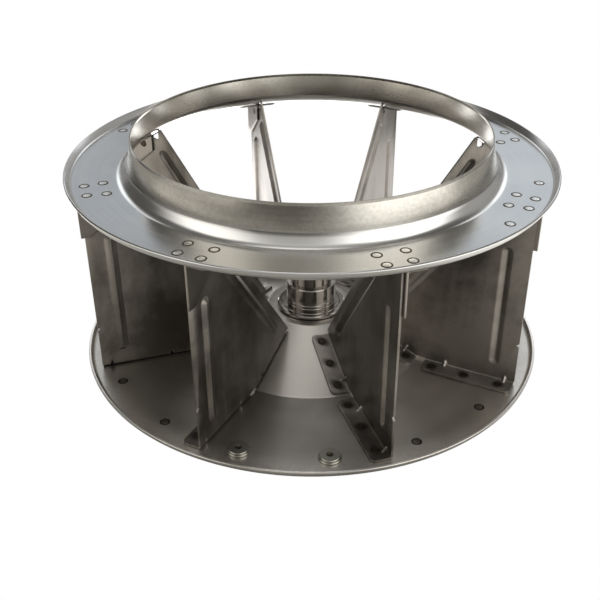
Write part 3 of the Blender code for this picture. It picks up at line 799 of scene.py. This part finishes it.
def rib_loops(bm, unrolled, ends):
    """A pressed rib as nested loops round its middle line, raised to the anticlockwise side."""
    first, last = Vector(ends[0]), Vector(ends[1])
    heading = math.degrees(math.atan2(last.y - first.y, last.x - first.x))
    fall = math.hypot(RIB_HALF_WIDTH, RIB_CREST_RADIUS) - RIB_CREST_RADIUS
    loops = []
    for half_width in RIB_LOOPS:
        drop = (math.hypot(half_width, RIB_CREST_RADIUS) - RIB_CREST_RADIUS) / fall
        height = RIB_HEIGHT * max(0.0, 1.0 - drop)
        loop = []
        for centre, start in ((last, heading - 90.0), (first, heading + 90.0)):
            for step in range(RIB_END_STEPS + 1):
                angle = math.radians(start + 180.0 * step / RIB_END_STEPS)
                out = Vector((math.cos(angle), math.sin(angle))) * half_width
                spot = centre + out
                vertex = bm.verts.new(Vector((spot.x, height, spot.y)) * MM)
                vertex[unrolled] = Vector((spot.x, spot.y, 0.0)) * MM
                loop.append(vertex)
        loops.append(loop)
    for outer, inner in zip(loops, loops[1:]):
        for i in range(len(outer)):
            j = (i + 1) % len(outer)
            bm.faces.new((outer[i], outer[j], inner[j], inner[i]))
    bm.faces.new(loops[-1])
    return loops[0]


def blade_sheet():
    """The middle surface of one blade on the +X ray, with its folds, darts and ribs."""
    bm = bmesh.new()
    unrolled = bm.verts.layers.float_vector.new("unrolled")
    cone_length = (CONE_END - CONE_START) / DOWN_CONE.x
    foot = folded_strip(bm, unrolled, on_foot, places_along(FOOT_START, FOOT_END, FOOT_DARTS),
                        lambda s: FOOT_LEG,
                        lambda s: rounded_width(s, FOOT_START, FOOT_END, FLANGE_WIDTH), FOOT_DARTS)
    cone = folded_strip(bm, unrolled, on_cone, places_along(0.0, cone_length, CONE_DARTS),
                        lambda s: CONE_LEG,
                        lambda s: rounded_width(s, 0.0, cone_length, FLANGE_WIDTH), CONE_DARTS)
    head = folded_strip(bm, unrolled, under_head, places_along(HEAD_START, HEAD_END, ()),
                        lambda s: HEAD_LEG,
                        lambda s: rounded_width(s, HEAD_START, HEAD_END, FLANGE_WIDTH))

    def corner(r, z):
        vertex = bm.verts.new(Vector((r, 0.0, z)) * MM)
        vertex[unrolled] = Vector((r, z, 0.0)) * MM
        return vertex

    def rim(columns, backwards):
        """The strip's edge that the flat web joins: up one side, along the leg, down the other."""
        legs = [column[:LEG_ROWS + 1] for column in columns]
        if backwards:
            legs.reverse()
        return legs[0][:0:-1] + [column[0] for column in legs] + legs[-1][1:]

    foot_bend = PLATE_THICKNESS + GAP + SHEET / 2.0 + BEND_RADIUS
    head_bend = SHROUD_UNDERSIDE - GAP - SHEET / 2.0 - BEND_RADIUS
    nose_height = on_cone(0.0, 0.0, SHEET / 2.0 + BEND_RADIUS)
    nose_z = nose_height.z + (nose_height.x - BLADE_NOSE_RADIUS) * -DOWN_CONE.y / DOWN_CONE.x
    edge = [corner(BLADE_TRAILING_RADIUS, foot_bend)]
    edge += rim(foot, backwards=True)
    edge += rim(cone, backwards=True)
    edge.append(corner(BLADE_NOSE_RADIUS, nose_z))
    edge.append(corner(*BLADE_LEADING_TOP))
    edge.append(corner(TOP_TAB_RADIUS, BLADE_LEADING_TOP[1]))
    edge.append(corner(TOP_TAB_RADIUS, head_bend))
    relief = (HEAD_START - TOP_TAB_RADIUS) / 2.0
    for degrees in (30.0, 90.0, 150.0):
        angle = math.radians(degrees)
        r = TOP_TAB_RADIUS + relief - relief * math.cos(angle)
        edge.append(corner(r, head_bend - RELIEF_DEPTH * math.sin(angle)))
    edge += rim(head, backwards=False)
    edge.append(corner(BLADE_TRAILING_RADIUS, head_bend))
    for depth, height in ((0.0, NOTCH_HALF), (NOTCH_DEPTH, 0.0), (0.0, -NOTCH_HALF)):
        edge.append(corner(BLADE_TRAILING_RADIUS - depth, NOTCH_HEIGHT + height))
    loops = [edge, rib_loops(bm, unrolled, UPRIGHT_RIB), rib_loops(bm, unrolled, SLANTED_RIB)]
    border = []
    for loop in loops:
        for first, second in zip(loop, loop[1:] + loop[:1]):
            joined = bm.edges.get((first, second))
            border.append(joined if joined else bm.edges.new((first, second)))
    bmesh.ops.triangle_fill(bm, use_beauty=True, use_dissolve=False, edges=border,
                            normal=(0.0, 1.0, 0.0))
    bmesh.ops.recalc_face_normals(bm, faces=bm.faces[:])
    mesh = bpy.data.meshes.new("blade_sheet")
    bm.to_mesh(mesh)
    bm.free()
    return mesh


def thickened(mesh):
    """Give a middle surface the sheet's thickness and a broken edge, and return the plain mesh."""
    item = bpy.data.objects.new(mesh.name, mesh)
    bpy.context.scene.collection.objects.link(item)
    for _ in range(2):
        mesh.materials.append(None)
    solid = item.modifiers.new("Sheet", "SOLIDIFY")
    solid.thickness = SHEET * MM
    solid.offset = 0.0
    solid.use_even_offset = True
    solid.material_offset_rim = RIM_SLOT
    edge = item.modifiers.new("Edge", "BEVEL")
    edge.limit_method = "ANGLE"
    edge.angle_limit = math.radians(BEVEL_ANGLE)
    edge.width = BROKEN_EDGE * MM
    edge.segments = 2
    edge.material = RIM_SLOT
    graph = bpy.context.evaluated_depsgraph_get()
    solid_mesh = bpy.data.meshes.new_from_object(item.evaluated_get(graph))
    bpy.data.objects.remove(item, do_unlink=True)
    bpy.data.meshes.remove(mesh)
    solid_mesh.shade_smooth()
    solid_mesh.set_sharp_from_angle(angle=math.radians(FOLD_SHARP_ANGLE))
    return solid_mesh


FOOT_WELDS = (139.0, 172.5, 206.5)
CONE_WELDS = (8.0, 34.0, 59.0)
WELD_ACROSS = 10.2
FLANGE_MARK_RADIUS = 3.2
HEAT_RADIUS = 8.0
HEAT_CORE_SHARE = 0.35
HEAT_STRENGTH = 0.85
HEAT_RAGGED = 0.004
BURNT_STEEL = (0.028, 0.021, 0.017, 1.0)
BLADE_CLOUD_SCALE = 9.0
BLADE_CLOUD_SHARE = 0.8
BLADE_STREAK_SHARE = 0.2
UPRIGHT_STREAKS = (60.0, 60.0, 9.0)
FINE_SCALE = 700.0
FINE_DEPTH = 0.0004
FINE_STRENGTH = 0.12
BLADE_TONE_SPREAD = (0.40, 0.60)
BLADE_ROUGHNESS = (0.30, 0.46)
BLADE_TONES = ((0.30, 0.278, 0.25, 1.0), (0.095, 0.086, 0.075, 1.0))
# Cut edges: bare steel, made much lighter than that as a painted highlight.
EDGE_PAINTED_HIGHLIGHT_TONES = ((0.95, 0.93, 0.90, 1.0), (0.80, 0.78, 0.74, 1.0))
WELD_RING = (0.05, 0.042, 0.034, 1.0)
WELD_CROWN = (0.062, 0.05, 0.04, 1.0)
WELD_ROUGHNESS = (0.42, 0.38)


def unrolled_spot(frame_of, s, leg, across):
    """Where a point of a flange lies on the unrolled sheet."""
    upright = frame_of(s, 0.0, leg)
    bend = SHEET / 2.0 + BEND_RADIUS
    passed = leg - bend + math.pi / 2.0 * BEND_RADIUS + across - BEND_RADIUS
    return Vector((upright.x, upright.z - passed, 0.0)) * MM


def blade_steel_look(name, tones, heated=False, metallic=1.0):
    """Dull rolled steel, streaked and stained; if heated, burnt brown round its spot welds."""
    material, tree = blank_material(name)
    light, dark = tones
    where = put(tree, "ShaderNodeTexCoord").outputs["Object"]
    cloud = noise(tree, where, BLADE_CLOUD_SCALE, 7.0, Roughness=0.6, Distortion=0.3)
    fine = noise(tree, where, FINE_SCALE, 2.0)
    stretched = put(tree, "ShaderNodeVectorMath", {0: where, 1: UPRIGHT_STREAKS},
                    operation="MULTIPLY")
    streak = noise(tree, stretched.outputs[0], 1.0, 4.0)
    tone = calc(tree, "ADD", calc(tree, "MULTIPLY", cloud, BLADE_CLOUD_SHARE),
                calc(tree, "MULTIPLY", streak, BLADE_STREAK_SHARE))
    colour = blend(tree, ramp(tree, tone, *BLADE_TONE_SPREAD, kind="LINEAR"), dark, light)
    if heated:
        flat = put(tree, "ShaderNodeAttribute", attribute_name="unrolled").outputs["Vector"]
        spots = [unrolled_spot(on_foot, s, FOOT_LEG, WELD_ACROSS) for s in FOOT_WELDS]
        spots += [unrolled_spot(on_cone, s, CONE_LEG, WELD_ACROSS) for s in CONE_WELDS]
        nearest = 1.0
        for spot in spots:
            away = put(tree, "ShaderNodeVectorMath", {0: flat, 1: spot}, operation="DISTANCE")
            nearest = calc(tree, "MINIMUM", away.outputs["Value"], nearest)
        uneven = calc(tree, "MULTIPLY", calc(tree, "SUBTRACT", streak, 0.5), HEAT_RAGGED)
        heat = ramp(tree, calc(tree, "ADD", nearest, uneven), HEAT_CORE_SHARE * HEAT_RADIUS * MM,
                    HEAT_RADIUS * MM, HEAT_STRENGTH, 0.0)
        colour = blend(tree, heat, colour, BURNT_STEEL)
    gloss = ramp(tree, tone, *GLOSS_SPREAD, *BLADE_ROUGHNESS, kind="LINEAR")
    return bare_metal(material, colour, gloss, (FINE_STRENGTH, FINE_DEPTH, fine),
                      {"Metallic": metallic, "Specular IOR Level": 0.8})


blade_steel = blade_steel_look("blade_steel", BLADE_TONES, heated=True, metallic=0.9)
edge_steel_with_painted_highlight = blade_steel_look("edge_steel_with_painted_highlight", EDGE_PAINTED_HIGHLIGHT_TONES, metallic=0.5)
weld_mark = mark_steel("weld_mark", WELD_RING, WELD_CROWN, *WELD_ROUGHNESS)
blade_angles = [FIRST_BLADE_ANGLE + n * 360.0 / BLADE_COUNT for n in range(BLADE_COUNT)]


def show_round(mesh, name, material, node):
    """Show a folded piece at every blade's angle, its cut edges bare steel lightened as a painted
    highlight.
    """
    for number, angle in enumerate(blade_angles, start=1):
        copy = mesh.copy()
        copy.name = f"{name}_{number}"
        copy.transform(Matrix.Rotation(math.radians(angle), 4, "Z"))
        copy.materials.clear()
        copy.materials.append(material)
        copy.materials.append(edge_steel_with_painted_highlight)
        show(copy.name, copy, None, "blade_steel", f"{node}_{number}")
    bpy.data.meshes.remove(mesh)


def spots_round(spots):
    """The spots of one blade, and the ways that they face, at every blade's angle."""
    turns = [Matrix.Rotation(math.radians(angle), 3, "Z") for angle in blade_angles]
    return [(turn @ spot, turn @ way) for turn in turns for spot, way in spots]


off_cone = Vector((OFF_CONE.x, 0.0, OFF_CONE.y))
flange_spots = [(on_foot(s, -WELD_ACROSS, SHEET) * MM, UP) for s in FOOT_WELDS]
flange_spots += [(on_cone(s, -WELD_ACROSS, SHEET) * MM, off_cone) for s in CONE_WELDS]
show_round(thickened(blade_sheet()), "folded_blade", blade_steel, "blade")
lay_marks("flange_weld_marks", spots_round(flange_spots), "blade_steel", weld_mark,
          FLANGE_MARK_RADIUS)

# Angle brackets.
# A short folded angle of the same sheet at each blade's top, on the side away from the flanges.
# One leg is welded under the shroud and one to the blade, and its lower edge is cut at a slant.
BRACKET_START, BRACKET_END = 184.0, 223.5
BRACKET_LEG = 20.0
BRACKET_INNER_DROP, BRACKET_OUTER_DROP = 18.0, 43.0
BRACKET_SLANT_SHARE = 0.75
BRACKET_OFFSET = SHEET + GAP
BRACKET_WELD = (195.0, 180.0)
BRACKET_MARK_RADIUS = 3.0
BRACKET_TONES = ((0.27, 0.25, 0.225, 1.0), (0.22, 0.20, 0.18, 1.0))


def bracket_drop(s):
    """How far the upright leg hangs down at radius s."""
    share = (s - BRACKET_START) / ((BRACKET_END - BRACKET_START) * BRACKET_SLANT_SHARE)
    return BRACKET_INNER_DROP + (BRACKET_OUTER_DROP - BRACKET_INNER_DROP) * min(1.0, share)


def beside_blade(s, across, height):
    return Vector((s, BRACKET_OFFSET - across, SHROUD_UNDERSIDE - GAP - height))


bm = bmesh.new()
layer = bm.verts.layers.float_vector.new("unrolled")
folded_strip(bm, layer, beside_blade, places_along(BRACKET_START, BRACKET_END, ()), bracket_drop,
             lambda s: rounded_width(s, BRACKET_START, BRACKET_END, BRACKET_LEG))
bmesh.ops.recalc_face_normals(bm, faces=bm.faces[:])
bracket_sheet = bpy.data.meshes.new("bracket_sheet")
bm.to_mesh(bracket_sheet)
bm.free()
bracket_steel = blade_steel_look("bracket_steel", BRACKET_TONES)
show_round(thickened(bracket_sheet), "folded_bracket", bracket_steel, "angle_bracket")
bracket_face = Vector((BRACKET_WELD[0], BRACKET_OFFSET + SHEET / 2.0, BRACKET_WELD[1])) * MM
bracket_spots = [(bracket_face, Vector((0.0, 1.0, 0.0)))]
lay_marks("bracket_weld_marks", spots_round(bracket_spots), "blade_steel", weld_mark,
          BRACKET_MARK_RADIUS)

# Inlet shroud.
# One spun 2 mm sheet: a neck round the eye, a shoulder with a crease above it, a flat ring and a
# lip flared up at its rim. Turning lines run round it, and the welds show as rings painted dark as
# shade round crowns lightened as a painted highlight.
SHROUD_THICKNESS = 2.0
SHROUD_HEIGHT = 193.5
SHROUD_LIP_HEIGHT = 200.3
SHROUD_LIP = (60.0, 3.5)
NECK_RADIUS = 169.8
NECK_TOP_HEIGHT = 227.8
NECK_LEAN = 81.0
CREASE_RADIUS = 9.0
SHOULDER_SLOPE = 50.0
SHOULDER_RUN = 4.6
FILLET_RADIUS = 11.0
WELD_ROWS = ((213.9, 2.92), (196.7, 3.59))
EXTRA_MARKS = ((213.0, 350.1), (213.0, 324.6))
SHROUD_TONES = ((0.62, 0.615, 0.60, 1.0), (0.55, 0.545, 0.53, 1.0))
SHROUD_ROUGHNESS = (0.16, 0.24)
SHROUD_LINE_PITCH = 3.5
SHROUD_STAIN = (0.30, 0.24, 0.17, 1.0)
NECK_BAND = (20.0, 29.0, (0.90, 0.875, 0.815, 1.0), 0.05, 0.04)
# Weld marks: a ring painted dark as shade and a crown lightened as a painted highlight.
SHROUD_MARK_PAINTED_SHADE = (0.12, 0.096, 0.068, 1.0)
SHROUD_MARK_PAINTED_HIGHLIGHT = (0.80, 0.785, 0.74, 1.0)


def shroud_stations():
    half = SHROUD_THICKNESS / 2.0
    flat_height = SHROUD_HEIGHT - half
    shoulder = [
        ("turn", CREASE_RADIUS, NECK_LEAN - SHOULDER_SLOPE),
        ("line", SHOULDER_RUN),
        ("turn", FILLET_RADIUS, SHOULDER_SLOPE),
    ]
    drop = -walk((0.0, 0.0), -NECK_LEAN, shoulder)[-1][1]
    neck_length = (NECK_TOP_HEIGHT - flat_height - drop) / sin_of(NECK_LEAN)
    start = (NECK_RADIUS - half, NECK_TOP_HEIGHT)
    stations = walk(start, -NECK_LEAN, [("line", neck_length)] + shoulder)
    return stations + lip_stations(SHROUD_LIP_HEIGHT, SHROUD_THICKNESS, flat_height, SHROUD_LIP)


shroud_steel = steel("shroud_steel", SHROUD_TONES, SHROUD_ROUGHNESS, SHROUD_LINE_PITCH,
                     stain=SHROUD_STAIN, stain_share=0.15, band=NECK_BAND)
shroud_mesh = turned("spun_shroud", sheet_outline(shroud_stations(), SHROUD_THICKNESS), TURN_STEPS)
show("spun_shroud", shroud_mesh, shroud_steel, "spun_steel", "inlet_shroud")
shroud_spots = [(on_ray(radius, angle, SHROUD_HEIGHT), UP) for radius, angle in EXTRA_MARKS]
for angle in blade_angles:
    for radius, aside in WELD_ROWS:
        for way in (-aside, aside):
            shroud_spots.append((on_ray(radius, angle + way, SHROUD_HEIGHT), UP))
shroud_mark = mark_steel("shroud_mark", SHROUD_MARK_PAINTED_SHADE, SHROUD_MARK_PAINTED_HIGHLIGHT)
lay_marks("shroud_weld_marks", shroud_spots, "spun_steel", shroud_mark)

# Hub.
# A boss turned from bar and polished: a narrower upper part above a step, two fine grooves low
# down, and a bore for the shaft. A grooved washer ring lies round it on the cone's flat top.
HUB_STEPS = 128
HUB_RADIUS = 25.4
HUB_UPPER_RADIUS = 21.3
HUB_BORE_RADIUS = 12.7
HUB_STEP_HEIGHT = 64.0
HUB_TOP_HEIGHT = 84.0
HUB_FLANGE_RADIUS = 30.0
HUB_FLANGE_THICKNESS = 4.0
HUB_CHAMFER = 1.0
HUB_STEP_CHAMFER = 0.8
GROOVE_HEIGHTS = (46.0, 42.5)
GROOVE_DEPTH = 0.6
RING_RADIUS = 35.0
RING_THICKNESS = 3.0
RING_CHAMFER = 1.2
RING_GROOVE_RADIUS = 29.5
RING_GROOVE_DEPTH = 0.7
HUB_TONES = ((0.29, 0.272, 0.25, 1.0), (0.23, 0.214, 0.196, 1.0))
HUB_ROUGHNESS = (0.13, 0.17)
HUB_LINE_PITCH = 1.6
HUB_TURNED_FINISH = 0.25


def with_distance(points):
    """Give each outline point its distance along the outline."""
    outline, passed = [], 0.0
    for number, (r, z) in enumerate(points):
        if number:
            passed += math.dist(points[number - 1], (r, z))
        outline.append((r, z, passed))
    return outline


def hub_points():
    seat = CONE_TOP_HEIGHT + GAP
    under = CONE_TOP_HEIGHT - PLATE_THICKNESS - GAP
    foot = under - HUB_FLANGE_THICKNESS
    spigot = PLATE_HOLE_RADIUS - GAP
    points = [
        (HUB_BORE_RADIUS + HUB_CHAMFER, HUB_TOP_HEIGHT),
        (HUB_UPPER_RADIUS - HUB_CHAMFER, HUB_TOP_HEIGHT),
        (HUB_UPPER_RADIUS, HUB_TOP_HEIGHT - HUB_CHAMFER),
        (HUB_UPPER_RADIUS, HUB_STEP_HEIGHT),
        (HUB_RADIUS - HUB_STEP_CHAMFER, HUB_STEP_HEIGHT),
        (HUB_RADIUS, HUB_STEP_HEIGHT - HUB_STEP_CHAMFER),
    ]
    for height in GROOVE_HEIGHTS:
        points += [
            (HUB_RADIUS, height + GROOVE_DEPTH), (HUB_RADIUS - GROOVE_DEPTH, height),
            (HUB_RADIUS, height - GROOVE_DEPTH),
        ]
    return points + [
        (HUB_RADIUS, seat), (spigot, seat), (spigot, under),
        (HUB_FLANGE_RADIUS, under), (HUB_FLANGE_RADIUS, foot),
        (HUB_BORE_RADIUS + HUB_CHAMFER, foot), (HUB_BORE_RADIUS, foot + HUB_CHAMFER),
        (HUB_BORE_RADIUS, HUB_TOP_HEIGHT - HUB_CHAMFER),
    ]


def ring_points():
    low = CONE_TOP_HEIGHT + GAP
    high = low + RING_THICKNESS
    inner = HUB_RADIUS + GAP
    return [
        (inner, high),
        (RING_GROOVE_RADIUS - RING_GROOVE_DEPTH, high),
        (RING_GROOVE_RADIUS, high - RING_GROOVE_DEPTH),
        (RING_GROOVE_RADIUS + RING_GROOVE_DEPTH, high),
        (RING_RADIUS - RING_CHAMFER, high), (RING_RADIUS, high - RING_CHAMFER),
        (RING_RADIUS, low), (inner, low),
    ]


hub_steel = steel("hub_steel", HUB_TONES, HUB_ROUGHNESS, HUB_LINE_PITCH, stain_share=0.15,
                  turned_finish=HUB_TURNED_FINISH)
hub_mesh = turned("turned_hub", with_distance(hub_points()), HUB_STEPS)
show("turned_hub", hub_mesh, hub_steel, "turned_steel", "hub")
ring_mesh = turned("hub_washer", with_distance(ring_points()), HUB_STEPS)
show("hub_washer", ring_mesh, hub_steel, "turned_steel", "hub_ring")

# Balance weights.
# Two round steel slugs near the rim, each with a wider foot, a dull flat top and a small dimple
# where it is fixed to the plate.
WEIGHT_STEPS = 64
WEIGHT_FOOT_RADIUS = 10.3
WEIGHT_FOOT_THICKNESS = 1.5
WEIGHT_RADIUS = 9.3
WEIGHT_THICKNESS = 3.5
WEIGHT_CHAMFER = 0.35
WEIGHT_DIMPLE_RADIUS = 2.9
WEIGHT_DIMPLE_DEPTH = 1.1
WEIGHT_SHARP_ANGLE = 25.0
WEIGHT_TONES = ((0.38, 0.37, 0.33, 1.0), (0.28, 0.27, 0.24, 1.0))
WEIGHT_ROUGHNESS = (0.30, 0.40)
WEIGHT_LINE_PITCH = 2.0
DIMPLE_BAND = (2.8, 4.2, (0.16, 0.14, 0.11, 1.0), 0.10, 0.0)


def weight_points():
    low = PLATE_THICKNESS + GAP
    high = low + WEIGHT_THICKNESS
    step = low + WEIGHT_FOOT_THICKNESS
    return [
        (0.0, high - WEIGHT_DIMPLE_DEPTH),
        (WEIGHT_DIMPLE_RADIUS * 0.5, high - WEIGHT_DIMPLE_DEPTH),
        (WEIGHT_DIMPLE_RADIUS, high),
        (WEIGHT_RADIUS - WEIGHT_CHAMFER, high), (WEIGHT_RADIUS, high - WEIGHT_CHAMFER),
        (WEIGHT_RADIUS, step), (WEIGHT_FOOT_RADIUS - WEIGHT_CHAMFER, step),
        (WEIGHT_FOOT_RADIUS, step - WEIGHT_CHAMFER), (WEIGHT_FOOT_RADIUS, low), (0.0, low),
    ]


weight_steel = steel("weight_steel", WEIGHT_TONES, WEIGHT_ROUGHNESS, WEIGHT_LINE_PITCH,
                     band=DIMPLE_BAND)
for number, angle in enumerate(WEIGHT_ANGLES, start=1):
    mesh = turned(f"dished_weight_{number}", with_distance(weight_points()), WEIGHT_STEPS,
                  on_ray(BALANCE_CIRCLE, angle), sharp=WEIGHT_SHARP_ANGLE)
    show(f"dished_weight_{number}", mesh, weight_steel, "turned_steel", f"balance_weight_{number}")
